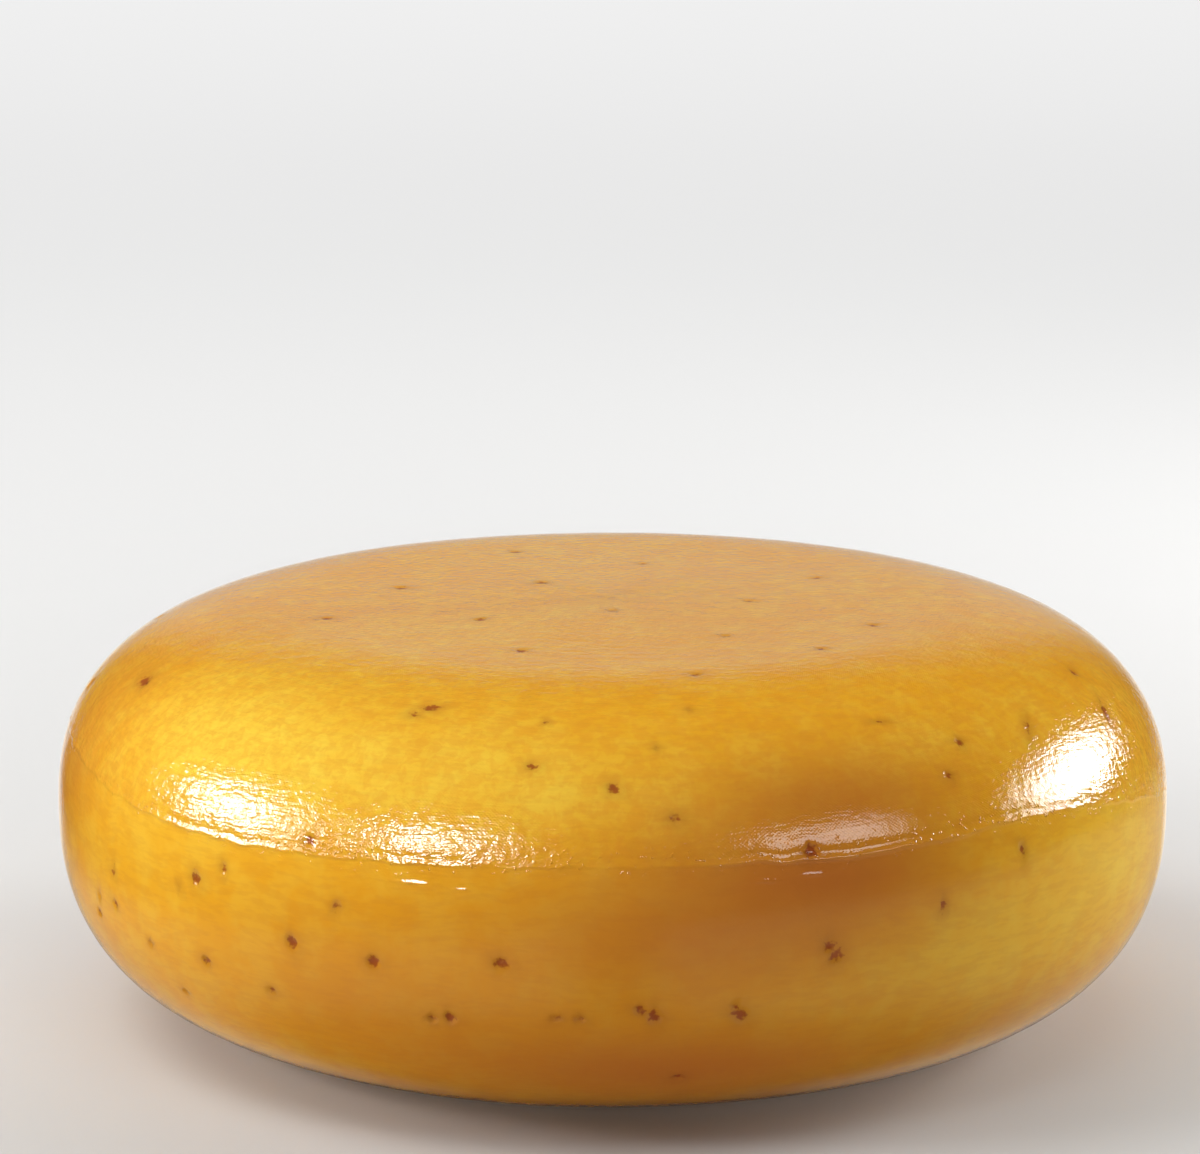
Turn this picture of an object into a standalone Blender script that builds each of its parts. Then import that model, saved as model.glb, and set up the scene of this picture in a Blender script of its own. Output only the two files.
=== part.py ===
"""A whole farmhouse cheese wheel in its yellow coating, resting on its flat base.

The wheel is one solid body, turned about Z, in metres. Its base stands on Z = 0, and its front
faces -Y. A low lip runs round the upper shoulder, where the coat brushed on from above ends over
the coat brushed on from below. Small pits are pressed in where seeds lie under the coat.
"""

import math
import random

import bmesh
import bpy
from mathutils import Matrix, Vector

NAME = "cheese_wheel"

# The body's section, the radius from which the rounded side starts, and the step for its slope
RADIUS = 0.170
HEIGHT = 0.1255
GIRTH_HEIGHT = 0.0655
FLAT_RADIUS = 0.0916
SHOULDER_POWER = 2.4
TOP_SWELL = 0.0008
SIDE_FROM = FLAT_RADIUS + 0.0006
SLOPE_STEP = 0.0005

# How finely it is turned
TURN_STEPS = 96
SHOULDER_STEPS = 13
TOP_RINGS = 3

# A pressed wheel is a little wider one way than the other
OUT_OF_ROUND = 0.0003
LONG_WAY = math.radians(25)

# The lip at the coat's edge, and how it wanders up and down: order, height, angle of the crest
LIP_HEIGHT = 0.0811
LIP_PROUD = 0.0006
LIP_HALF_WIDTH = 0.0013
LIP_SPREAD = 0.018
LIP_WAVES = (
    (1, 0.0065, math.radians(-45)),
    (2, 0.0020, math.radians(34)),
    (3, 0.0031, math.radians(33)),
    (4, 0.0014, math.radians(30)),
    (5, 0.0020, math.radians(-16)),
)

# Seed pits at the front: degrees round to the right, height in millimetres, width in millimetres
FRONT_PITS = (
    (-69, 111, 4.2), (-23, 119.5, 4.4), (-8.5, 109.5, 3.6), (-30, 87.5, 4.0), (-58, 64, 3.6),
    (-44, 70, 4.2), (-40, 75, 3.4), (-58.5, 53, 4.0), (-27, 70, 3.4), (-32, 58, 4.4),
    (-23, 56, 4.4), (-43, 46, 3.8), (-49, 32, 3.4), (-35, 41.5, 3.4), (-10.5, 58.5, 4.2),
    (-17, 40.5, 4.4), (-3.5, 43, 3.8), (3, 44.5, 4.8), (11.5, 44, 4.8), (20.5, 60, 4.8),
    (19, 88, 4.6), (36, 102, 4.0), (40, 108.5, 3.6), (43, 79, 3.6), (32.5, 68.5, 3.8),
    (67, 104, 3.6),
)

# Seed pits round the rest of the side
BACK_PITS = 18
BACK_FROM = 82
BACK_TO = 278
BACK_LOWEST = 0.030
BACK_HIGHEST = 0.112
BACK_WIDTHS = (0.0034, 0.0048)
SEED = 7

PIT_DEPTH_SHARE = 0.17
PIT_LENGTH_SHARE = 1.35

COAT_COLOUR = (0.70, 0.36, 0.045, 1.0)
COAT_ROUGHNESS = 0.28


def clear_scene():
    for old in list(bpy.data.objects):
        bpy.data.objects.remove(old, do_unlink=True)


def new_collection(name):
    collection = bpy.data.collections.new(name)
    bpy.context.scene.collection.children.link(collection)
    return collection


def body_radius(height):
    """Outer radius of the turned body at a height on its rounded side."""
    reach = HEIGHT - TOP_SWELL - GIRTH_HEIGHT if height > GIRTH_HEIGHT else GIRTH_HEIGHT
    share = min(abs(height - GIRTH_HEIGHT) / reach, 1.0)
    outward = (1 - share**SHOULDER_POWER) ** (1 / SHOULDER_POWER)
    return FLAT_RADIUS + (RADIUS - FLAT_RADIUS) * outward


def shoulder_heights(reach):
    """Heights from the girth to a flat's rim, spread evenly round the rounding."""
    turns = [math.pi / 2 * step / SHOULDER_STEPS for step in range(SHOULDER_STEPS + 1)]
    return [reach * math.sin(turn) ** (2 / SHOULDER_POWER) for turn in turns]


def section():
    """Half of the wheel's section as (radius, height), from the middle of the top to the base.

    The rows next to the lip make room for its three, so that no two rows lie close together."""
    rim_height = HEIGHT - TOP_SWELL
    points = []
    for ring in range(TOP_RINGS):
        share = ring / TOP_RINGS
        points.append((FLAT_RADIUS * share, rim_height + TOP_SWELL * (1 - share**2)))
    upper = [GIRTH_HEIGHT + rise for rise in shoulder_heights(rim_height - GIRTH_HEIGHT)]
    upper = [height for height in upper if abs(height - LIP_HEIGHT) > 2 * LIP_HALF_WIDTH]
    upper += [LIP_HEIGHT + side * LIP_HALF_WIDTH for side in (-1, 0, 1)]
    lower = [GIRTH_HEIGHT - fall for fall in shoulder_heights(GIRTH_HEIGHT)[1:]]
    heights = sorted(upper, reverse=True) + lower
    points += [(body_radius(height), height) for height in heights]
    points.append((0.0, 0.0))
    return points


def turned(points, collection):
    """The section turned about Z with a Screw modifier, as a mesh object."""
    mesh = bpy.data.meshes.new(NAME)
    corners = [(radius, 0.0, height) for radius, height in points]
    mesh.from_pydata(corners, [(i, i + 1) for i in range(len(corners) - 1)], [])
    wheel = bpy.data.objects.new(NAME, mesh)
    collection.objects.link(wheel)
    screw = wheel.modifiers.new("Turn", "SCREW")
    screw.axis = "Z"
    screw.angle = math.tau
    screw.steps = TURN_STEPS
    screw.render_steps = TURN_STEPS
    screw.use_merge_vertices = True
    screw.merge_threshold = 0.0001
    apply_modifiers(wheel)
    return wheel


def apply_modifiers(obj):
    graph = bpy.context.evaluated_depsgraph_get()
    result = bpy.data.meshes.new_from_object(obj.evaluated_get(graph))
    obj.modifiers.clear()
    obj.data = result


def lip_rise(angle):
    """How far the lip lies above its mean height at an angle from the front."""
    return sum(rise * math.cos(order * (angle - crest)) for order, rise, crest in LIP_WAVES)


def round_scale(angle):
    return 1 + OUT_OF_ROUND / RADIUS * math.cos(2 * (angle - LONG_WAY))


def shape_side(wheel):
    """Raises the lip, lets it wander, and leaves the wheel slightly out of round.

    Only the rounded side moves up and down. The flats end at its rim."""
    for vertex in wheel.data.vertices:
        x, y, height = vertex.co
        radius = math.hypot(x, y)
        angle = math.atan2(x, -y)
        if radius > SIDE_FROM:
            from_lip = height - LIP_HEIGHT
            height += lip_rise(angle) * math.exp(-((from_lip / LIP_SPREAD) ** 2))
            radius = body_radius(height)
            if abs(from_lip) < LIP_HALF_WIDTH / 2:
                radius += LIP_PROUD
        radius *= round_scale(angle)
        vertex.co = (radius * math.sin(angle), -radius * math.cos(angle), height)


def outward_at(angle, height):
    """The side's outward direction, from its slope between two near heights."""
    gained = body_radius(height + SLOPE_STEP) - body_radius(height - SLOPE_STEP)
    slope = gained / (2 * SLOPE_STEP)
    return Vector((math.sin(angle), -math.cos(angle), -slope)).normalized()


def pit_cutter(number, angle, height, width, collection):
    """An egg-shaped cutter, long way level, that leaves a shallow dent of this width."""
    depth = width * PIT_DEPTH_SHARE
    ball = (width**2 / 4 + depth**2) / (2 * depth)
    outward = outward_at(angle, height)
    around = Vector((math.cos(angle), math.sin(angle), 0))
    upward = outward.cross(around)
    radius = body_radius(height) * round_scale(angle)
    surface = Vector((radius * math.sin(angle), -radius * math.cos(angle), height))
    mesh = bpy.data.meshes.new(f"pit_cutter_{number:02d}")
    shape = bmesh.new()
    bmesh.ops.create_icosphere(shape, subdivisions=2, radius=ball)
    bmesh.ops.scale(shape, verts=shape.verts, vec=(PIT_LENGTH_SHARE, 1, 1))
    turn = Matrix((around, upward, outward)).transposed().to_4x4()
    turn.translation = surface + outward * (ball - depth)
    bmesh.ops.transform(shape, verts=shape.verts, matrix=turn)
    shape.to_mesh(mesh)
    shape.free()
    cutter = bpy.data.objects.new(mesh.name, mesh)
    cutter.hide_render = True
    cutter.display_type = "WIRE"
    collection.objects.link(cutter)


def back_pits():
    """Pits spread round the back by the golden ratio, so that none lie close together."""
    draw = random.Random(SEED)
    golden = (math.sqrt(5) - 1) / 2
    for number in range(BACK_PITS):
        angle = BACK_FROM + (BACK_TO - BACK_FROM) * (number + 0.5) / BACK_PITS
        rise = (number * golden + 0.5) % 1
        height = BACK_LOWEST + (BACK_HIGHEST - BACK_LOWEST) * rise
        yield math.radians(angle), height, draw.uniform(*BACK_WIDTHS)


def press_pits(wheel, cutters):
    """Presses every pit into the wheel with one Boolean."""
    pits = [(math.radians(turn), rise / 1000, width / 1000) for turn, rise, width in FRONT_PITS]
    pits += back_pits()
    for number, (angle, height, width) in enumerate(pits):
        pit_cutter(number, angle, height, width, cutters)
    press = wheel.modifiers.new("Pits", "BOOLEAN")
    press.operation = "DIFFERENCE"
    press.operand_type = "COLLECTION"
    press.collection = cutters


def coat_material():
    material = bpy.data.materials.new("yellow_coating")
    material.use_nodes = True
    shader = material.node_tree.nodes["Principled BSDF"]
    shader.inputs["Base Color"].default_value = COAT_COLOUR
    shader.inputs["Roughness"].default_value = COAT_ROUGHNESS
    shader.inputs["Metallic"].default_value = 0.0
    return material


def build():
    clear_scene()
    wheel = turned(section(), new_collection(NAME))
    shape_side(wheel)
    press_pits(wheel, new_collection("pit_cutters"))
    wheel.data.materials.clear()
    wheel.data.materials.append(coat_material())
    wheel.data.shade_smooth()


build()
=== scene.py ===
"""A whole farmhouse cheese wheel in its brushed-on yellow coating, lying on a pale floor."""

import bisect
import math
import random

import bmesh
import bpy
from mathutils import Matrix, Vector, kdtree, noise


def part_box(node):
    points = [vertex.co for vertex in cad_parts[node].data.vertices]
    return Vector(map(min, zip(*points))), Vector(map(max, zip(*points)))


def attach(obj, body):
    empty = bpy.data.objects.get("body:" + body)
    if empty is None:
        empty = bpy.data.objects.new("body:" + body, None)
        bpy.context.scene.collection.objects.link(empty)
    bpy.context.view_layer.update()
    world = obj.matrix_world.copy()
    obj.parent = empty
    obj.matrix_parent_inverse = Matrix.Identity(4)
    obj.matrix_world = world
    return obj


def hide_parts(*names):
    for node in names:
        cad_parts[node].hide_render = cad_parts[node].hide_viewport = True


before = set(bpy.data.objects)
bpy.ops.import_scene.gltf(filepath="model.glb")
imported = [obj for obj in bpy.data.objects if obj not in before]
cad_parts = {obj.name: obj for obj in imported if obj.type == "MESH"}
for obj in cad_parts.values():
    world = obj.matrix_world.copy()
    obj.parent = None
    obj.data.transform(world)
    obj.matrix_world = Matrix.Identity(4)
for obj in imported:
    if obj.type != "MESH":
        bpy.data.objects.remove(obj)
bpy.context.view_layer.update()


# The camera
# A long lens a little above the wheel, tilted down less than its height asks for, so that the wheel
# sits in the lower half of the picture.
CAMERA_DISTANCE = 1.36
CAMERA_ELEVATION = math.radians(14.27)
CAMERA_TILT = math.radians(11.54)
CAMERA_ASIDE = -0.0037
AIM_HEIGHT = 0.0655
SENSOR_WIDTH = 36.0
LENS_LENGTH = 132.1
FARTHEST_SEEN = 100.0


def place_camera():
    """Stands the camera in front of the wheel and makes it the scene's own."""
    lens = bpy.data.cameras.new("camera")
    lens.sensor_width = SENSOR_WIDTH
    lens.lens = LENS_LENGTH
    lens.clip_end = FARTHEST_SEEN
    camera = bpy.data.objects.new("camera", lens)
    back = CAMERA_DISTANCE * math.cos(CAMERA_ELEVATION)
    rise = CAMERA_DISTANCE * math.sin(CAMERA_ELEVATION)
    camera.location = (CAMERA_ASIDE, -back, AIM_HEIGHT + rise)
    camera.rotation_euler = (math.pi / 2 - CAMERA_TILT, 0.0, 0.0)
    bpy.context.scene.collection.objects.link(camera)
    bpy.context.scene.camera = camera


place_camera()


# The wheel's body
# A pressed and aged wheel of cheese bulges at the side and is flat above and below. The body is its
# half section spun about the upright axis, as large as the solid model's box, with rows set close
# together where the coat's edge runs round the shoulder.
wheel_low, wheel_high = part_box("cheese_wheel")
RADIUS = (wheel_high.x - wheel_low.x + wheel_high.y - wheel_low.y) / 4
HEIGHT = wheel_high.z
GIRTH_HEIGHT = 0.522 * HEIGHT
FLAT_RADIUS = 0.539 * RADIUS
SHOULDER_POWER = 2.4
TOP_SWELL = 0.0008

# A pressed wheel is a little wider one way than the other
OUT_OF_ROUND = 0.0003
LONG_WAY = math.radians(25)

# How finely it is spun, and the close rows at the coat's edge
TURN_STEPS = 480
SHOULDER_ROWS = 48
TOP_ROWS = 28
BASE_ROWS = 8
EDGE_HEIGHT = 0.0811
EDGE_ROWS_ABOVE = 15
EDGE_ROWS_BELOW = 23
EDGE_ROW_STEP = 0.00028
CLEAR_OF_EDGE_ROWS = 0.0006
MERGE_WITHIN = 0.00001


def body_radius(height):
    """Outer radius of the spun body at a height on its rounded side."""
    reach = HEIGHT - TOP_SWELL - GIRTH_HEIGHT if height > GIRTH_HEIGHT else GIRTH_HEIGHT
    share = min(abs(height - GIRTH_HEIGHT) / reach, 1.0)
    outward = (1 - share**SHOULDER_POWER) ** (1 / SHOULDER_POWER)
    return FLAT_RADIUS + (RADIUS - FLAT_RADIUS) * outward


def round_scale(angle):
    """How much wider than its mean the wheel is at an angle from the front."""
    return 1 + OUT_OF_ROUND / RADIUS * math.cos(2 * (angle - LONG_WAY))


def shoulder_heights(reach):
    """Heights from the girth to a flat's rim, spread evenly round the rounding."""
    turns = [math.pi / 2 * row / SHOULDER_ROWS for row in range(SHOULDER_ROWS + 1)]
    return [reach * math.sin(turn) ** (2 / SHOULDER_POWER) for turn in turns]


def half_section():
    """The section as (radius, height), from the middle of the top to the middle of the base."""
    rim_height = HEIGHT - TOP_SWELL
    points = []
    for row in range(TOP_ROWS):
        share = row / TOP_ROWS
        points.append((FLAT_RADIUS * share, rim_height + TOP_SWELL * (1 - share**2) ** 2))
    close = range(-EDGE_ROWS_BELOW, EDGE_ROWS_ABOVE + 1)
    close = [EDGE_HEIGHT + EDGE_ROW_STEP * row for row in close]
    low = close[0] - CLEAR_OF_EDGE_ROWS
    high = close[-1] + CLEAR_OF_EDGE_ROWS
    upper = [GIRTH_HEIGHT + rise for rise in shoulder_heights(rim_height - GIRTH_HEIGHT)]
    upper = [height for height in upper if not low < height < high] + close
    lower = [GIRTH_HEIGHT - fall for fall in shoulder_heights(GIRTH_HEIGHT)[1:]]
    points += [(body_radius(height), height) for height in sorted(upper, reverse=True) + lower]
    points += [(FLAT_RADIUS * (1 - row / BASE_ROWS), 0.0) for row in range(1, BASE_ROWS + 1)]
    return points


def spin_body():
    """The half section spun into a closed shell whose faces point outwards."""
    wheel = bmesh.new()
    corners = [wheel.verts.new((0.0, -radius, height)) for radius, height in half_section()]
    edges = [wheel.edges.new(pair) for pair in zip(corners, corners[1:])]
    bmesh.ops.spin(
        wheel,
        geom=corners + edges,
        cent=(0, 0, 0),
        axis=(0, 0, 1),
        angle=math.tau,
        steps=TURN_STEPS,
        use_merge=True,
    )
    bmesh.ops.remove_doubles(wheel, verts=wheel.verts, dist=MERGE_WITHIN)
    bmesh.ops.recalc_face_normals(wheel, faces=wheel.faces)
    return wheel


def mark_run(wheel):
    """Stores the distance along the section from the middle of the top, for the brush marks."""
    run = wheel.verts.layers.float.new("run")
    points = half_section()
    lengths = [math.dist(start, end) for start, end in zip(points, points[1:])]
    reached = [sum(lengths[:count]) for count in range(len(points))]
    side = sorted((height, length) for (_, height), length in zip(points, reached) if height > 0)
    heights = [height for height, _ in side]
    for vertex in wheel.verts:
        x, y, height = vertex.co
        radius = math.hypot(x, y)
        if radius > FLAT_RADIUS:
            row = min(max(bisect.bisect(heights, height), 1), len(side) - 1)
            height_below, length_below = side[row - 1]
            height_above, length_above = side[row]
            share = (height - height_below) / (height_above - height_below)
            share = min(max(share, 0.0), 1.0)
            vertex[run] = length_below + (length_above - length_below) * share
        else:
            vertex[run] = radius if height > GIRTH_HEIGHT else reached[-1] - radius


# The coat's edge and the rind's waves
# The coating is brushed on from above and, once that has dried, from below. The upper coat ends in a
# thin lip that wanders round the shoulder, in places doubled by a short run of coating. The rind
# under it is slightly wavy from the mould and the cloth.

# How the edge wanders: waves round the wheel, their height, and the angle of a crest
EDGE_WAVES = (
    (1, 0.0065, math.radians(-45)),
    (2, 0.0020, math.radians(34)),
    (3, 0.0031, math.radians(33)),
    (4, 0.0014, math.radians(30)),
    (5, 0.0020, math.radians(-16)),
)
EDGE_SPREAD = 0.018
EDGE_DIP = 0.0020
EDGE_DIP_MIDDLE = math.radians(26)
EDGE_DIP_SPREAD = math.radians(13)
EDGE_WOBBLE = 0.0010
EDGE_WOBBLE_LENGTH = 0.008
COLOUR_EDGE = 0.0008

# The lip, the groove that the brush left above it, and the upper coat's own thickness
LIP_PROUD = 0.00027
LIP_WIDTH = 0.0008
GROOVE_DEPTH = 0.00019
GROOVE_ABOVE = 0.0021
GROOVE_WIDTH = 0.0010
COAT_STEP = 0.00022
COAT_FADE = 0.011

# Where the lip is bold: degrees to the right at its start, full height, fading and end, and how bold
BOLD_STRETCHES = (
    (6, 13, 40, 47, 1.0),
    (-60, -50, -36, -26, 0.6),
    (-25, -22, -18, -14, 0.5),
)
BOLD_UNEVEN = 0.6
LIP_LEAST = 0.05
CRUMBLE = 0.9
CRUMBLE_LENGTH = 0.004

# Short runs of coating: degrees to the right, length in degrees, height in millimetres
COAT_RUNS = ((14.2, 2.2, 80.9), (18.8, 2.2, 81.6), (-19.0, 3.4, 79.2), (-14.5, 1.6, 78.3))
RUN_PROUD = 0.00026
RUN_WIDTH = 0.0005

# The rind's waves: depth, length, and where each is read from the noise, so that no two agree
RIND_WAVES = (
    (0.00030, 0.055, Vector((0, 0, 0))),
    (0.00010, 0.013, Vector((7, 3, 5))),
    (0.00012, 0.0058, Vector((2, 9, 4))),
)
FOOT_HEIGHT = 0.006


def bell(distance, width):
    """A smooth bump, 1 in its middle, that fades over a width."""
    return math.exp(-((distance / width) ** 2))


def ease(value, low, high):
    """A smooth rise from 0 at the low value to 1 at the high one."""
    share = min(max((value - low) / (high - low), 0.0), 1.0)
    return share * share * (3 - 2 * share)


def noise_round(angle, length, layer):
    """Noise with no seam round the wheel, in swells of a length. Each layer has its own swells."""
    return noise.noise(Vector((math.sin(angle), math.cos(angle), layer)) * RADIUS / length)


def edge_rise(angle):
    """How far the lip lies above its mean height at an angle from the front."""
    rise = sum(size * math.cos(order * (angle - crest)) for order, size, crest in EDGE_WAVES)
    rise -= EDGE_DIP * bell(angle - EDGE_DIP_MIDDLE, EDGE_DIP_SPREAD)
    return rise + EDGE_WOBBLE * noise_round(angle, EDGE_WOBBLE_LENGTH, layer=0)


def lip_strength(angle):
    """The lip is bold along a few stretches, and elsewhere comes and goes in small crumbs."""
    turn = math.degrees(angle)
    bold = 0.0
    for start, full, fading, end, strength in BOLD_STRETCHES:
        bold = max(bold, strength * ease(turn, start, full) * (1 - ease(turn, fading, end)))
    crumbs = noise_round(angle, CRUMBLE_LENGTH, layer=3)
    return max(bold * (1 + BOLD_UNEVEN * crumbs), LIP_LEAST + CRUMBLE * max(crumbs, 0.0))


def coat_relief(angle, height, from_edge):
    """Height of the coat over the plain body, in metres."""
    lip = LIP_PROUD * bell(from_edge, LIP_WIDTH)
    groove = GROOVE_DEPTH * bell(from_edge - GROOVE_ABOVE, GROOVE_WIDTH)
    step = COAT_STEP * bell(from_edge, COAT_FADE) if from_edge > 0 else 0.0
    relief = (lip - groove + step) * lip_strength(angle)
    for turn, length, run_height in COAT_RUNS:
        along = bell(angle - math.radians(turn), math.radians(length) / 2)
        relief += RUN_PROUD * along * bell(height - run_height / 1000, RUN_WIDTH)
    return relief


def rind_relief(place):
    """The rind's own slow waves, always inwards, so that the wheel keeps its size."""
    waves = [depth * (noise.noise(place / length + at) - 1) for depth, length, at in RIND_WAVES]
    return sum(waves) / 2


def follow_edge(wheel):
    """Moves the close rows to the wandering edge, and marks what the upper coat covers."""
    upper = wheel.verts.layers.float.new("upper_coat")
    for vertex in wheel.verts:
        x, y, height = vertex.co
        radius = math.hypot(x, y)
        angle = math.atan2(x, -y)
        from_edge = height - EDGE_HEIGHT
        if radius > FLAT_RADIUS:
            room = min((HEIGHT - TOP_SWELL - height) / EDGE_SPREAD, 1.0)
            height += edge_rise(angle) * bell(from_edge, EDGE_SPREAD) * room
            radius = body_radius(height)
        radius *= round_scale(angle)
        vertex.co = (radius * math.sin(angle), -radius * math.cos(angle), height)
        vertex[upper] = min(max(from_edge / COLOUR_EDGE + 0.5, 0.0), 1.0)


def raise_surface(wheel):
    """Adds the coat's and the rind's relief along the outward direction, but not at the foot."""
    wheel.normal_update()
    moves = []
    for vertex in wheel.verts:
        x, y, height = vertex.co
        angle = math.atan2(x, -y)
        share = min(height / FOOT_HEIGHT, 1.0)
        from_edge = height - EDGE_HEIGHT - edge_rise(angle)
        relief = coat_relief(angle, height, from_edge) + rind_relief(vertex.co)
        moves.append(vertex.normal * relief * share)
    for vertex, move in zip(wheel.verts, moves):
        vertex.co += move


# The seed pits
# Seeds in the curd lie just under the coat. Each has sunk a little as the cheese dried, so the coat
# dips over it, and the seed shows through as a brown mark with a soft halo. The mesh is made finer
# round each pit before it is pressed in.

# Pits at the front: degrees to the right, height and size in millimetres, how many times as long as
# wide, and tilt in degrees
FRONT_PITS = (
    (-68.7, 111.4, 4.6, 2.0, 10), (-22.7, 119.5, 3.8, 1.7, -15), (-24.1, 118.1, 3.0, 1.8, 20),
    (-8.0, 118.3, 2.2, 1.0, 0), (-8.5, 109.5, 3.4, 1.2, 20), (-30.1, 87.3, 3.8, 1.0, 0),
    (-58.4, 63.5, 3.4, 1.0, 0), (-43.8, 70.1, 4.0, 1.2, -20), (-46.3, 65.7, 2.4, 1.0, 0),
    (-40.0, 75.0, 3.0, 1.3, 70), (-62.3, 53.1, 2.8, 1.0, 0), (-58.5, 53.4, 3.2, 1.2, 30),
    (-63.3, 47.1, 3.2, 1.0, 0), (-26.6, 70.3, 3.2, 1.1, -10), (-31.7, 57.9, 4.0, 1.3, 60),
    (-22.9, 55.7, 4.0, 1.2, 10), (-43.1, 45.9, 3.4, 1.1, 0), (-52.2, 45.4, 2.4, 1.0, 0),
    (-34.8, 41.5, 3.0, 1.1, 0), (-48.6, 32.3, 2.8, 1.0, 0), (-10.4, 58.6, 3.8, 1.3, 0),
    (-17.4, 40.2, 3.2, 1.0, 0), (-15.6, 41.1, 3.6, 1.3, 60), (-5.4, 43.0, 2.6, 1.6, 0),
    (-3.2, 42.9, 3.0, 1.3, 20), (12.9, 124.4, 3.2, 1.2, 0), (41.2, 124.7, 3.0, 1.4, 0),
    (9.5, 120.4, 2.4, 1.0, 0), (31.6, 115.3, 2.2, 2.4, 12), (4.7, 113.5, 2.4, 1.0, 0),
    (0.0, 104.9, 3.8, 1.2, 30), (6.0, 97.8, 3.2, 1.3, 0), (69.9, 113.4, 3.2, 1.3, 0),
    (50.7, 107.9, 3.0, 3.4, -48), (67.0, 103.8, 3.6, 3.0, -50), (39.6, 108.5, 3.4, 1.0, 0),
    (35.9, 101.8, 3.2, 1.2, 0), (18.8, 88.0, 4.8, 1.0, 0), (42.7, 79.1, 3.2, 1.5, 80),
    (32.5, 68.5, 3.2, 1.4, 70), (20.3, 61.4, 3.8, 1.2, 0), (21.0, 58.6, 3.8, 1.5, -40),
    (2.5, 45.4, 3.4, 1.2, 30), (3.8, 43.5, 4.0, 1.3, 70), (11.4, 45.3, 3.2, 1.0, 0),
    (11.9, 43.1, 4.2, 1.3, 20), (6.5, 22.3, 3.2, 1.2, 0),
)

# Pits round the back, in the same measures, and on the top, with half their width in metres
BACK_PITS = 46
BACK_FROM = 84
BACK_TO = 276
BACK_LOWEST = 24.0
BACK_HIGHEST = 119.0
BACK_SIZES = (2.4, 4.2)
BACK_STRETCHES = (1.0, 1.6)
BACK_TILTS = (-60, 60)
TOP_PITS = 12
TOP_HALF_WIDTHS = (0.0013, 0.002)
TOP_STRETCH = 1.3
GOLDEN_SHARE = (math.sqrt(5) - 1) / 2
SEED = 7

# How far round a pit the mesh is cut finer, as a share of half its size and a margin, and how finely
FINE_REACH = 1.5
FINE_MARGIN = 0.001
FINE_CUTS = 3

# The step over which the side's slope is read, and the slope under which a place counts as level
SLOPE_STEP = 0.0005
LEVEL_SLOPE = 0.01

# The dent and the low rim round it, as shares of half the pit's size
PIT_DEPTH_SHARE = 0.19
UPPER_COAT_FILL = 0.6
PIT_REACH = 3.36
DENT_WIDTH = 0.8
DENT_POWER = 4
RIM_RISE = 0.12
RIM_AT = 1.35
RIM_WIDTH = 0.35
RAGGED = 0.35
RAGGED_SCALE = 1.6
RAGGED_LAYER = 1.7

# The seed's brown mark, fainter on small pits, and the halo round it
MARK_WIDTH = 0.95
HALO_WIDTH = 1.575
FAINT_MARK = 0.6
FAINT_SIZE = 2.4
FULL_SIZE = 4.0


def side_pits():
    """The front's pits, then others like them round the back."""
    draw = random.Random(SEED)
    pits = list(FRONT_PITS)
    for number in range(BACK_PITS):
        turn = BACK_FROM + (BACK_TO - BACK_FROM) * (number + 0.5) / BACK_PITS
        height = BACK_LOWEST + (BACK_HIGHEST - BACK_LOWEST) * (number * GOLDEN_SHARE % 1)
        size = draw.uniform(*BACK_SIZES)
        stretch = draw.uniform(*BACK_STRETCHES)
        tilt = draw.uniform(*BACK_TILTS)
        pits.append((turn, height, size, stretch, tilt))
    return pits


def place_pits():
    """Each pit's middle, outward direction, tilt, half width, and length over width."""
    pits = []
    for turn, height, size, stretch, tilt in side_pits():
        angle = math.radians(turn)
        height /= 1000
        gained = body_radius(height + SLOPE_STEP) - body_radius(height - SLOPE_STEP)
        slope = gained / (2 * SLOPE_STEP)
        outward = Vector((math.sin(angle), -math.cos(angle), -slope)).normalized()
        radius = body_radius(height) * round_scale(angle)
        middle = Vector((radius * math.sin(angle), -radius * math.cos(angle), height))
        pits.append((middle, outward, math.radians(tilt), size / 2000, stretch))
    draw = random.Random(SEED + 1)
    for number in range(TOP_PITS):
        angle = number * math.tau * GOLDEN_SHARE
        radius = FLAT_RADIUS * math.sqrt((number + 0.5) / TOP_PITS)
        middle = Vector((radius * math.sin(angle), -radius * math.cos(angle), HEIGHT))
        half = draw.uniform(*TOP_HALF_WIDTHS)
        pits.append((middle, Vector((0, 0, 1)), angle, half, TOP_STRETCH))
    return pits


def sort_vertices(wheel):
    """The wheel's vertices in a tree, for finding those near a place."""
    wheel.verts.ensure_lookup_table()
    tree = kdtree.KDTree(len(wheel.verts))
    for vertex in wheel.verts:
        tree.insert(vertex.co, vertex.index)
    tree.balance()
    return tree


def refine_round_pits(wheel, pits):
    """Cuts the faces near each pit finer, so that it has a real shape."""
    tree = sort_vertices(wheel)
    near = set()
    for middle, _, _, half, stretch in pits:
        reach = half * max(stretch, 1.0) * FINE_REACH + FINE_MARGIN
        near.update(index for _, index, _ in tree.find_range(middle, reach))
    edges = [edge for edge in wheel.edges if all(vertex.index in near for vertex in edge.verts)]
    bmesh.ops.subdivide_edges(wheel, edges=edges, cuts=FINE_CUTS, use_grid_fill=True)


def surface_ways(outward, tilt):
    """A pit's long way and short way along the surface. The tilt turns them from the level way."""
    level = Vector((0, 0, 1)).cross(outward)
    if level.length < LEVEL_SLOPE:
        level = Vector((1, 0, 0))
    long_way = Matrix.Rotation(-tilt, 3, outward) @ level.normalized()
    return long_way, outward.cross(long_way)


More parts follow.
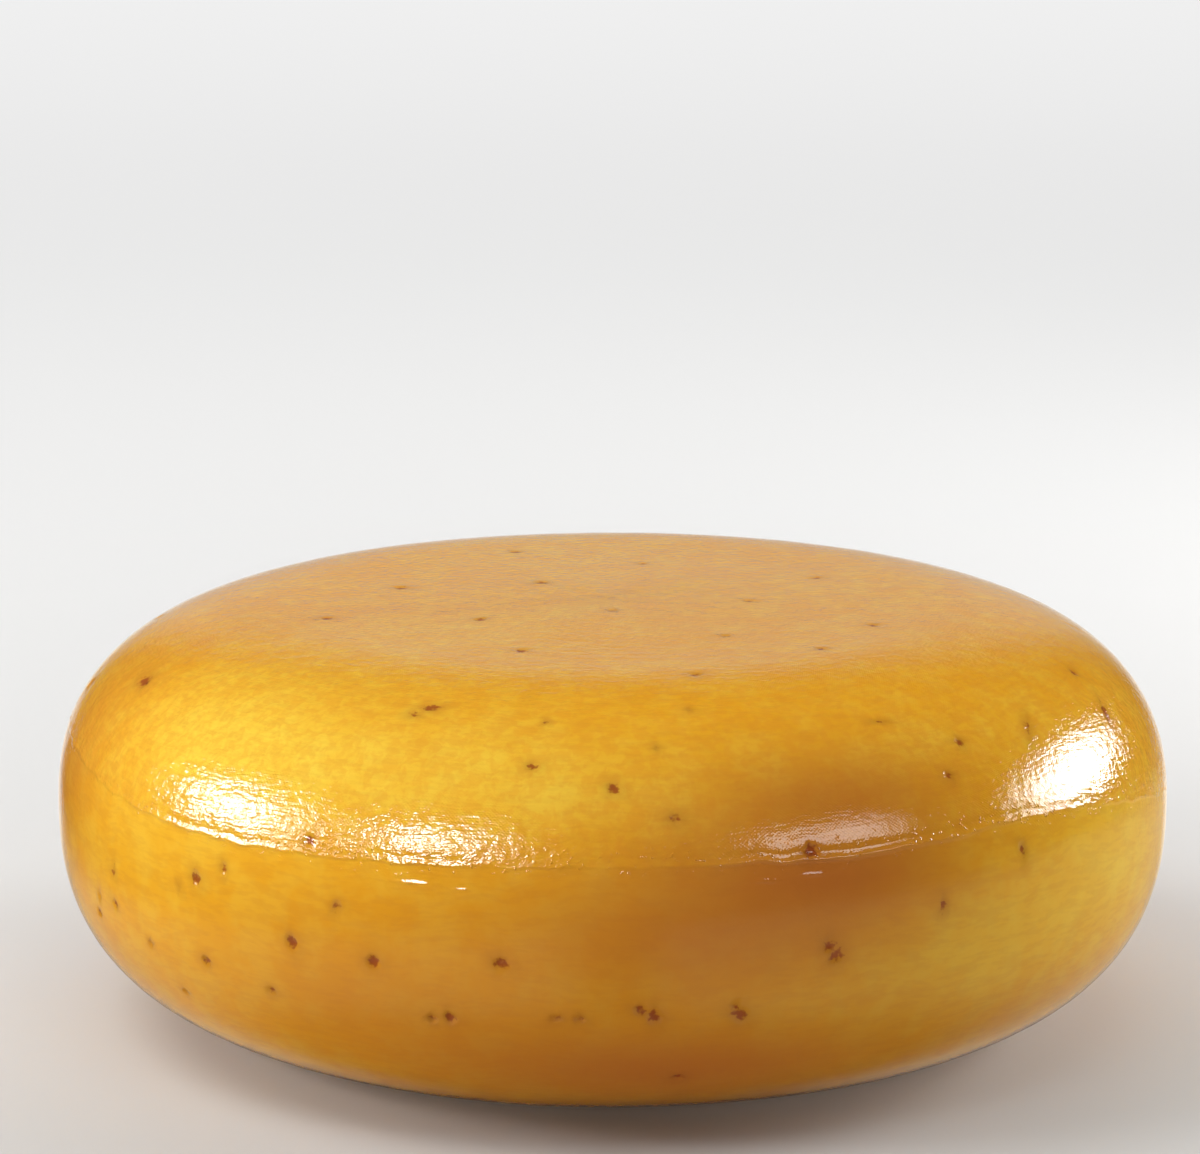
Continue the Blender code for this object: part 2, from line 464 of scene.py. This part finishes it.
def press_pits(wheel, pits):
    """Presses the pits in, and marks the seed and its halo on the mesh for the coating's colours."""
    seed = wheel.verts.layers.float.new("seed")
    halo = wheel.verts.layers.float.new("halo")
    tree = sort_vertices(wheel)
    for number, (middle, outward, tilt, half, stretch) in enumerate(pits):
        long_way, short_way = surface_ways(outward, tilt)
        depth = half * 2 * PIT_DEPTH_SHARE / stretch
        if middle.z > EDGE_HEIGHT:
            depth *= UPPER_COAT_FILL
        mark = FAINT_MARK + (1 - FAINT_MARK) * ease(half * 2000, FAINT_SIZE, FULL_SIZE)
        for place, index, _ in tree.find_range(middle, half * max(stretch, 1.0) * PIT_REACH):
            along = (place - middle).dot(long_way) / (half * stretch)
            across = (place - middle).dot(short_way) / half
            turn = math.atan2(across, along)
            outline = Vector((math.cos(turn), math.sin(turn), number * RAGGED_LAYER))
            ragged = noise.noise(outline * RAGGED_SCALE)
            share = math.hypot(along, across) / (1 + RAGGED * ragged)
            dent = math.exp(-((share / DENT_WIDTH) ** DENT_POWER))
            dent -= RIM_RISE * bell(share - RIM_AT, RIM_WIDTH)
            vertex = wheel.verts[index]
            vertex.co -= outward * depth * dent
            vertex[seed] = max(vertex[seed], mark * bell(share, MARK_WIDTH))
            vertex[halo] = max(vertex[halo], bell(share, HALO_WIDTH))


# The coating's patches
# The rind and the coat over it change slowly in colour round the wheel, lemon in some places and amber
# in others. The deep patches are partly this amber tone and partly painted shade: they darken the front
# where it turns down below the lip, the lower side towards the base, and the left rim. Each patch is
# soft:
# degrees to the right, height in millimetres, how far it spreads in degrees and in millimetres, and how
# strong it is.
PALE_PATCHES = (
    (-44, 104, 19, 16, 1.0), (-13, 105, 22, 13, 0.6), (-52, 74, 14, 16, 0.2), (40, 109, 22, 9, 0.2),
    (60, 66, 17, 26, 0.55), (36, 54, 12, 15, 0.4), (24, 36, 18, 12, 0.2), (112, 100, 26, 16, 0.6),
    (150, 60, 18, 22, 0.35), (196, 104, 30, 15, 0.8), (232, 58, 22, 20, 0.35), (265, 100, 20, 14, 0.4),
)
# Deep patches: partly the rind's own amber tone, partly painted shade where the light falls off
DEEP_AND_SHADE_PATCHES = (
    (20, 80, 14, 14, 1.0), (8, 66, 22, 22, 0.75), (6, 26, 30, 18, 0.95), (-24, 44, 18, 26, 0.45),
    (22, 99, 14, 12, 1.0), (10, 90, 10, 8, 0.4), (-74, 92, 11, 26, 0.5), (-62, 30, 14, 18, 0.2),
    (54, 26, 14, 12, 0.2), (120, 70, 20, 18, 0.5), (168, 34, 24, 20, 0.7), (215, 76, 20, 16, 0.5),
    (250, 36, 22, 18, 0.6),
)

# Where the brush worked the coat into ridges and crumbs, and the band of grit above the lip
WORKED_PATCHES = (
    (-44, 92, 30, 22, 1.0), (-14, 85, 18, 14, 1.0), (66, 96, 20, 26, 0.75), (104, 84, 22, 24, 0.7),
    (160, 88, 34, 20, 0.6), (225, 90, 40, 24, 0.8), (-20, 128, 90, 12, 0.8), (200, 128, 90, 12, 0.7),
)
GRIT_ABOVE = 0.0015
GRIT_SPREAD = 0.0030


def patch_strength(patches, angle, height):
    """How strongly the patches of one kind show at a place on the wheel, from 0 to 1."""
    clear = 1.0
    for turn, middle, spread_round, spread_up, strength in patches:
        away = math.remainder(math.degrees(angle) - turn, 360) / spread_round
        above = (height * 1000 - middle) / spread_up
        clear *= 1 - strength * math.exp(-(away**2) - above**2)
    return 1 - clear


def mark_patches(wheel):
    """Stores how strongly each kind of patch and the grit show, for the coating's material."""
    pale = wheel.verts.layers.float.new("pale_patch")
    # The deep patches hold painted shade as well as the rind's tone
    deep_and_shade = wheel.verts.layers.float.new("deep_and_shade_patch")
    worked = wheel.verts.layers.float.new("worked")
    grit = wheel.verts.layers.float.new("edge_grit")
    for vertex in wheel.verts:
        x, y, height = vertex.co
        angle = math.atan2(x, -y)
        from_edge = height - EDGE_HEIGHT - edge_rise(angle)
        vertex[pale] = patch_strength(PALE_PATCHES, angle, height)
        vertex[deep_and_shade] = patch_strength(DEEP_AND_SHADE_PATCHES, angle, height)
        vertex[worked] = patch_strength(WORKED_PATCHES, angle, height)
        vertex[grit] = bell(from_edge - GRIT_ABOVE, GRIT_SPREAD)


# The coating
# A yellow food coating, brushed on and shiny, over a rind that shows through it: lemon yellow and
# finely mottled above the edge, deeper and streaked round the wheel below it, brown over the seeds.
# The deeper colour below the edge is partly the rind's tone and partly painted shade.
def from_screen(red, green, blue):
    """A colour as a screen shows it, 0 to 255, as the linear colour that a shader takes."""
    shares = (red / 255, green / 255, blue / 255)
    linear = [s / 12.92 if s <= 0.04045 else ((s + 0.055) / 1.055) ** 2.4 for s in shares]
    return (*linear, 1.0)


GOLDEN = from_screen(232, 163, 31)
LEMON = from_screen(241, 202, 68)
AMBER = from_screen(226, 148, 40)
# Deep brown serves the rind's real streaks and the painted shade of the deep patches
DEEP_BROWN = from_screen(190, 110, 42)
SEED_BROWN = from_screen(148, 62, 28)
HALO_BROWN = from_screen(150, 84, 36)

# How strongly each colour shows, and between which values its noise fades in
BLOTCH_FADE = (0.38, 0.66)
BLOTCH_SHARE = 0.24
CURD_FADE = (0.64, 0.38)
CURD_SHARE = 0.36
UPPER_COAT_COVERS = 0.25
WISP_FADE = (0.60, 0.82)
WISP_SHARE = 0.13
WISP_FINE = 0.35
HALO_SHARE = 0.36
CRUMB_SCALE = 800.0
CRUMB_RAGGED = 1.1
CRUMB_FADE = (0.42, 0.84)
CRUMB_SHARE = 0.82

# Height of the skin's relief in millimetres: brush strokes, dimples, cloth marks and grit
FINE_STROKES = 0.10
BROAD_STROKES = 0.15
STROKE_WAVER_SCALE = 26.0
BROAD_STROKE_SCALE = 0.42
DIMPLES = 0.22
DIMPLE_SCALE = 400.0
CLOTH_MARKS = 0.009
GRIT = 0.34
GRIT_SCALE = 800.0
GRIT_FADE = (0.62, 0.80)

# How much of it shows away from the worked patches, what they add, and how much shows below the edge
UNWORKED_SHARE = 0.40
WORKED_GAIN = 1.15
LOWER_COAT_SHARE = 0.4
MILLIMETRE = 0.001

# How shiny the coating is
COATING_IOR = 1.42
BLOTCH_ROUGHNESS = 0.08
CRUMB_ROUGHNESS = 0.06


def add_node(tree, kind, **settings):
    """A new node with its settings."""
    node = tree.nodes.new(kind)
    for name, value in settings.items():
        setattr(node, name, value)
    return node


def plug(tree, socket, value):
    """Links another node's output to a socket, or sets the socket's own value."""
    if isinstance(value, bpy.types.NodeSocket):
        tree.links.new(value, socket)
    else:
        socket.default_value = value


def feed(tree, node, **inputs):
    """Plugs a node's inputs by name, with an underscore for each space."""
    for name, value in inputs.items():
        plug(tree, node.inputs[name.replace("_", " ")], value)
    return node


def math_of(tree, operation, *values):
    """One step of arithmetic, worked out at each point."""
    node = add_node(tree, "ShaderNodeMath", operation=operation)
    for socket, value in zip(node.inputs, values):
        plug(tree, socket, value)
    return node.outputs[0]


def product_of(tree, first, *others):
    """Two or more values multiplied."""
    for other in others:
        first = math_of(tree, "MULTIPLY", first, other)
    return first


def noise_of(tree, vector, scale, detail=2.0, roughness=0.5, distortion=0.0):
    """Smooth noise from 0 to 1."""
    node = add_node(tree, "ShaderNodeTexNoise")
    feed(tree, node, Vector=vector, Scale=scale, Detail=detail)
    feed(tree, node, Roughness=roughness, Distortion=distortion)
    return node.outputs["Fac"]


def fade_of(tree, value, low, high):
    """A smooth rise from 0 at the low value to 1 at the high one, or a fall if they are swapped."""
    node = add_node(tree, "ShaderNodeMapRange", interpolation_type="SMOOTHSTEP")
    feed(tree, node, Value=value, From_Min=low, From_Max=high)
    return node.outputs["Result"]


def mix_colour(tree, share, first, second):
    """The first colour with a share of the second laid over it."""
    node = add_node(tree, "ShaderNodeMix", data_type="RGBA")
    plug(tree, node.inputs[0], share)
    plug(tree, node.inputs[6], first)
    plug(tree, node.inputs[7], second)
    return node.outputs[2]


def attribute_of(tree, name):
    """A number stored on the mesh's vertices."""
    return add_node(tree, "ShaderNodeAttribute", attribute_name=name).outputs["Fac"]


def place_of(tree):
    """The place on the object, in metres from its origin."""
    return add_node(tree, "ShaderNodeTexCoord").outputs["Object"]


def new_group(name, inputs, outputs):
    """A shader node group with named number inputs and outputs, and its two end nodes."""
    tree = bpy.data.node_groups.new(name, "ShaderNodeTree")
    for socket, value in inputs.items():
        made = tree.interface.new_socket(socket, in_out="INPUT", socket_type="NodeSocketFloat")
        made.default_value = value
    for socket in outputs:
        tree.interface.new_socket(socket, in_out="OUTPUT", socket_type="NodeSocketFloat")
    return tree, tree.nodes.new("NodeGroupInput"), tree.nodes.new("NodeGroupOutput")


def brush_marks_group():
    """Long thin marks round the wheel: noise squeezed across the brush's way, in two widths."""
    inputs = {"Run": 0.0, "Marks Round": 40.0, "Marks Across": 1150.0, "Waver": 7.0}
    tree, start, end = new_group("Brush marks", inputs, ("Fine", "Broad"))
    place = place_of(tree)
    flat = add_node(tree, "ShaderNodeVectorMath", operation="MULTIPLY")
    plug(tree, flat.inputs[0], place)
    plug(tree, flat.inputs[1], (1, 1, 0))
    ring = add_node(tree, "ShaderNodeVectorMath", operation="NORMALIZE")
    plug(tree, ring.inputs[0], flat.outputs[0])
    around = add_node(tree, "ShaderNodeVectorMath", operation="SCALE")
    plug(tree, around.inputs[0], ring.outputs[0])
    feed(tree, around, Scale=start.outputs["Marks Round"])
    parts = feed(tree, add_node(tree, "ShaderNodeSeparateXYZ"), Vector=around.outputs[0])
    waver = noise_of(tree, place, STROKE_WAVER_SCALE, detail=1.0)
    waver = product_of(tree, waver, start.outputs["Waver"])
    across = product_of(tree, start.outputs["Run"], start.outputs["Marks Across"])
    across = math_of(tree, "ADD", across, waver)
    marks = add_node(tree, "ShaderNodeCombineXYZ")
    marks = feed(tree, marks, X=parts.outputs["X"], Y=parts.outputs["Y"], Z=across).outputs[0]
    fine = noise_of(tree, marks, 1.0, detail=1.0)
    broad = noise_of(tree, marks, BROAD_STROKE_SCALE, detail=2.0, roughness=0.6)
    feed(tree, end, Fine=fine, Broad=broad)
    return tree


def mottling_group():
    """The rind under the coat: small pale curds, and blotches of deeper colour."""
    inputs = {"Curd Size": 0.0034, "Blotch Size": 0.012}
    tree, start, end = new_group("Rind mottling", inputs, ("Curds", "Blotches"))
    place = place_of(tree)
    fineness = math_of(tree, "DIVIDE", 1.0, start.outputs["Curd Size"])
    curds = noise_of(tree, place, fineness, detail=2.0, roughness=0.6, distortion=0.4)
    coarseness = math_of(tree, "DIVIDE", 1.0, start.outputs["Blotch Size"])
    blotches = noise_of(tree, place, coarseness, detail=3.0, roughness=0.6)
    feed(tree, end, Curds=curds, Blotches=blotches)
    return tree


def cloth_weave_group():
    """The faint weave of the pressing cloth: threads round the wheel crossed by threads up it."""
    inputs = {"Run": 0.0, "Thread Pitch": 0.0011, "Threads Round": 960.0}
    tree, start, end = new_group("Cloth weave", inputs, ("Weave",))
    parts = feed(tree, add_node(tree, "ShaderNodeSeparateXYZ"), Vector=place_of(tree))
    turn = math_of(tree, "ARCTAN2", parts.outputs["Y"], parts.outputs["X"])
    round_way = math_of(tree, "SINE", product_of(tree, turn, start.outputs["Threads Round"]))
    count = math_of(tree, "DIVIDE", start.outputs["Run"], start.outputs["Thread Pitch"])
    up_way = math_of(tree, "SINE", product_of(tree, count, math.tau))
    feed(tree, end, Weave=product_of(tree, round_way, up_way))
    return tree


def place_group(tree, group, **inputs):
    """A node group placed in a material."""
    return feed(tree, add_node(tree, "ShaderNodeGroup", node_tree=group), **inputs)


def seed_crumbs(tree):
    """The seeds' brown marks, with a crumbled outline."""
    ragged = noise_of(tree, place_of(tree), CRUMB_SCALE, detail=1.0)
    ragged = math_of(tree, "MULTIPLY_ADD", ragged, CRUMB_RAGGED, -CRUMB_RAGGED / 2)
    crumbs = math_of(tree, "ADD", attribute_of(tree, "seed"), ragged)
    return product_of(tree, fade_of(tree, crumbs, *CRUMB_FADE), CRUMB_SHARE)


def coat_colour(tree, brush, mottle, crumbs):
    """Slow patches first, then curds above the edge, wisps below it, and last the seeds."""
    upper = attribute_of(tree, "upper_coat")
    blotches = fade_of(tree, mottle.outputs["Blotches"], *BLOTCH_FADE)
    pale = math_of(tree, "MULTIPLY_ADD", blotches, BLOTCH_SHARE, attribute_of(tree, "pale_patch"))
    colour = mix_colour(tree, pale, GOLDEN, LEMON)
    curds = fade_of(tree, mottle.outputs["Curds"], *CURD_FADE)
    colour = mix_colour(tree, product_of(tree, curds, upper, CURD_SHARE), colour, AMBER)
    below = math_of(tree, "MULTIPLY_ADD", upper, -UPPER_COAT_COVERS, 1.0)
    # The deep patches lay amber tone and painted shade, less of it above the edge
    deep_and_shade = product_of(tree, attribute_of(tree, "deep_and_shade_patch"), below)
    colour = mix_colour(tree, deep_and_shade, colour, DEEP_BROWN)
    wisps = math_of(tree, "MULTIPLY_ADD", brush.outputs["Fine"], WISP_FINE, brush.outputs["Broad"])
    wisps = fade_of(tree, wisps, *WISP_FADE)
    colour = mix_colour(tree, product_of(tree, wisps, below, WISP_SHARE), colour, DEEP_BROWN)
    halo = product_of(tree, attribute_of(tree, "halo"), HALO_SHARE)
    colour = mix_colour(tree, halo, colour, HALO_BROWN)
    return mix_colour(tree, crumbs, colour, SEED_BROWN)


def skin_relief(tree, brush, weave):
    """Brush strokes round the wheel, a dimpled skin, fine cloth marks, and grit at the edge."""
    place = place_of(tree)
    dimples = noise_of(tree, place, DIMPLE_SCALE, detail=2.0, roughness=0.55)
    height = product_of(tree, brush.outputs["Fine"], FINE_STROKES)
    height = math_of(tree, "MULTIPLY_ADD", brush.outputs["Broad"], BROAD_STROKES, height)
    height = math_of(tree, "MULTIPLY_ADD", dimples, DIMPLES, height)
    worked = attribute_of(tree, "worked")
    worked = math_of(tree, "MULTIPLY_ADD", worked, WORKED_GAIN, UNWORKED_SHARE)
    height = product_of(tree, height, worked)
    height = math_of(tree, "MULTIPLY_ADD", weave.outputs["Weave"], CLOTH_MARKS, height)
    thick = attribute_of(tree, "upper_coat")
    thick = math_of(tree, "MULTIPLY_ADD", thick, 1 - LOWER_COAT_SHARE, LOWER_COAT_SHARE)
    height = product_of(tree, height, thick)
    grit = fade_of(tree, noise_of(tree, place, GRIT_SCALE), *GRIT_FADE)
    grit = product_of(tree, grit, attribute_of(tree, "edge_grit"))
    return math_of(tree, "MULTIPLY_ADD", grit, GRIT, height)


def coating_material():
    """The coating's shader, with the three node groups placed in it."""
    material = bpy.data.materials.new("yellow_coating")
    material.use_nodes = True
    tree = material.node_tree
    run = attribute_of(tree, "run")
    brush = place_group(tree, brush_marks_group(), Run=run)
    weave = place_group(tree, cloth_weave_group(), Run=run)
    mottle = place_group(tree, mottling_group())
    crumbs = seed_crumbs(tree)
    colour = coat_colour(tree, brush, mottle, crumbs)
    rough = product_of(tree, mottle.outputs["Blotches"], BLOTCH_ROUGHNESS)
    rough = math_of(tree, "MULTIPLY_ADD", crumbs, CRUMB_ROUGHNESS, rough)
    bump = add_node(tree, "ShaderNodeBump")
    feed(tree, bump, Height=skin_relief(tree, brush, weave), Strength=1.0, Distance=MILLIMETRE)
    shader = tree.nodes["Principled BSDF"]
    feed(tree, shader, Base_Color=colour, Roughness=rough, Normal=bump.outputs[0])
    feed(tree, shader, IOR=COATING_IOR, Metallic=0.0)
    return material


wheel = spin_body()
mark_run(wheel)
follow_edge(wheel)
raise_surface(wheel)
pits = place_pits()
refine_round_pits(wheel, pits)
press_pits(wheel, pits)
mark_patches(wheel)
wheel_mesh = bpy.data.meshes.new("coated_wheel")
wheel.to_mesh(wheel_mesh)
wheel.free()
wheel_mesh.shade_smooth()
wheel_mesh.materials.append(coating_material())
coated_wheel = bpy.data.objects.new("coated_wheel", wheel_mesh)
bpy.context.scene.collection.objects.link(coated_wheel)
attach(coated_wheel, "root")
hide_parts("cheese_wheel")


# The floor
# A wide pale studio table that the wheel stands on, with no edge in view. It glows as if lit from
# beneath, as a light table is: painted light that also lights the wheel's lower side, with painted
# shade in its dimmer middle just in front of the wheel. The coat's gloss shows the room in its place.
FLOOR_HALF = 12.0
FLOOR_COLOUR = from_screen(188, 187, 185)
FLOOR_ROUGHNESS = 0.7
FLOOR_GLOW = 0.85
GLOW_REACH = 1.2
DIM_MIDDLE = (0.0, -0.15, 0.0)
WHITE = (1.0, 1.0, 1.0, 1.0)


def floor_material():
    """Pale and dull, with a glow that grows with the distance from the dim middle."""
    material = bpy.data.materials.new("pale_floor")
    material.use_nodes = True
    tree = material.node_tree
    away = add_node(tree, "ShaderNodeVectorMath", operation="DISTANCE")
    plug(tree, away.inputs[0], place_of(tree))
    plug(tree, away.inputs[1], DIM_MIDDLE)
    dimness = math_of(tree, "DIVIDE", away.outputs["Value"], -GLOW_REACH)
    dimness = math_of(tree, "EXPONENT", dimness)
    glow = math_of(tree, "MULTIPLY_ADD", dimness, -FLOOR_GLOW, FLOOR_GLOW)
    shader = tree.nodes["Principled BSDF"]
    feed(tree, shader, Base_Color=FLOOR_COLOUR, Roughness=FLOOR_ROUGHNESS)
    feed(tree, shader, Emission_Color=WHITE, Emission_Strength=glow)
    return material


floor_grid = bmesh.new()
bmesh.ops.create_grid(floor_grid, x_segments=1, y_segments=1, size=FLOOR_HALF)
floor_mesh = bpy.data.meshes.new("studio_floor")
floor_grid.to_mesh(floor_mesh)
floor_grid.free()
floor_mesh.materials.append(floor_material())
floor = bpy.data.objects.new("studio_floor", floor_mesh)
floor.visible_glossy = False
bpy.context.scene.collection.objects.link(floor)


# The light
# Catch lights stand where their reflections in the coat show them, and light nothing else. Scrims,
# which leave no reflection, give the soft light, most of it from the left and from behind right. A
# pale wall behind the wheel brightens the flat view over its top, and a pale table its lower rim.

# Name, shape, degrees to the right, degrees up, distance, width, height and brightness
CATCH_LIGHTS = (
    ("left", "ELLIPSE", -77, 20.5, 1.3, 0.86, 0.52, 6.5),
    ("left_middle", "ELLIPSE", -82, 20.5, 1.3, 0.54, 0.36, 21.0),
    ("front_left", "ELLIPSE", -38, 25, 1.3, 0.46, 0.28, 30.0),
    ("front_left_wide", "ELLIPSE", -34, 27, 1.3, 0.70, 0.40, 3.0),
    ("front_right", "RECTANGLE", 44.5, 28, 1.4, 0.66, 0.33, 7.0),
    ("back_right", "ELLIPSE", 108, 17, 1.3, 0.94, 0.50, 8.0),
    ("back_right_middle", "ELLIPSE", 109, 16, 1.3, 0.58, 0.36, 15.0),
)
SCRIMS = (
    ("scrim_left", "RECTANGLE", -74, 21, 1.3, 0.40, 0.32, 14.4),
    ("scrim_back_right", "RECTANGLE", 115, 15, 1.3, 0.55, 0.46, 15.0),
    ("scrim_high_left", "RECTANGLE", -82, 55, 1.6, 1.0, 0.8, 5.1),
    ("scrim_back", "RECTANGLE", 180, 50, 1.6, 1.2, 0.8, 1.4),
    ("scrim_front", "RECTANGLE", 0, 65, 1.6, 1.2, 0.8, 2.4),
    ("scrim_low", "RECTANGLE", 0, 12, 1.6, 1.2, 0.6, 1.6),
)

# The room by the direction of view. Behind the wheel: brightness, how high each thing starts, is full,
# fades and ends, and how far aside it ends and is full
ROOM_DARK = 0.03
WALL = (0.42, (-0.34, -0.24, 0.16, 0.48), (0.34, 0.18))
FAR_TABLE = (0.45, (-0.30, -0.24, -0.16, -0.06), (0.44, 0.28))

# The table at both sides: brightness, tint, its far edge and how that slopes from left to right, where
# it ends at the wheel's foot, and how far aside it starts
TABLE_LEVEL = 0.50
TABLE_WARM = (1.0, 0.86, 0.66, 1.0)
TABLE_EDGE = (-0.16, -0.32)
TABLE_SLOPE = -0.12
TABLE_NEAR = (-0.86, -0.56)
TABLE_SIDES = (0.05, 0.28)


def hang_lamp(name, shape, turn, rise, distance, width, height, brightness):
    """A soft lamp at an angle round from the front and up, aimed at the wheel's middle."""
    lamp = bpy.data.lights.new(name, "AREA")
    lamp.shape = shape
    lamp.size = width
    lamp.size_y = height
    lamp.energy = brightness * math.pi * width * height
    angle = math.radians(turn)
    lift = math.radians(rise)
    way = Vector((math.sin(angle), -math.cos(angle), 0)) * math.cos(lift)
    way.z = math.sin(lift)
    holder = bpy.data.objects.new(name, lamp)
    holder.location = Vector((0, 0, AIM_HEIGHT)) + way * distance
    holder.rotation_euler = way.to_track_quat("Z", "Y").to_euler()
    bpy.context.scene.collection.objects.link(holder)
    return holder


def light_room():
    """A dark room with a pale wall behind the wheel, and a pale table low to its left and right."""
    world = bpy.data.worlds.new("studio_room")
    world.use_nodes = True
    tree = world.node_tree
    direction = add_node(tree, "ShaderNodeTexCoord").outputs["Generated"]
    parts = feed(tree, add_node(tree, "ShaderNodeSeparateXYZ"), Vector=direction)
    sideways, backwards, upwards = parts.outputs
    aside = math_of(tree, "ABSOLUTE", sideways)
    behind = math_of(tree, "GREATER_THAN", backwards, 0.0)
    level = ROOM_DARK
    for brightness, (start, full, fading, end), sides in (WALL, FAR_TABLE):
        band = product_of(tree, fade_of(tree, upwards, start, full), fade_of(tree, upwards, end, fading))
        band = product_of(tree, band, fade_of(tree, aside, *sides), behind)
        level = math_of(tree, "MULTIPLY_ADD", band, brightness, level)
    edge = math_of(tree, "MULTIPLY_ADD", sideways, TABLE_SLOPE, upwards)
    table = product_of(tree, fade_of(tree, edge, *TABLE_EDGE), fade_of(tree, aside, *TABLE_SIDES))
    table = product_of(tree, table, fade_of(tree, upwards, *TABLE_NEAR))
    level = math_of(tree, "MULTIPLY_ADD", table, TABLE_LEVEL, level)
    tint = mix_colour(tree, table, WHITE, TABLE_WARM)
    feed(tree, tree.nodes["Background"], Strength=level, Color=tint)
    bpy.context.scene.world = world


for catch_light in CATCH_LIGHTS:
    hang_lamp(*catch_light).visible_diffuse = False
for scrim in SCRIMS:
    hang_lamp(*scrim).visible_glossy = False
light_room()
bpy.context.scene.view_settings.view_transform = "Standard"
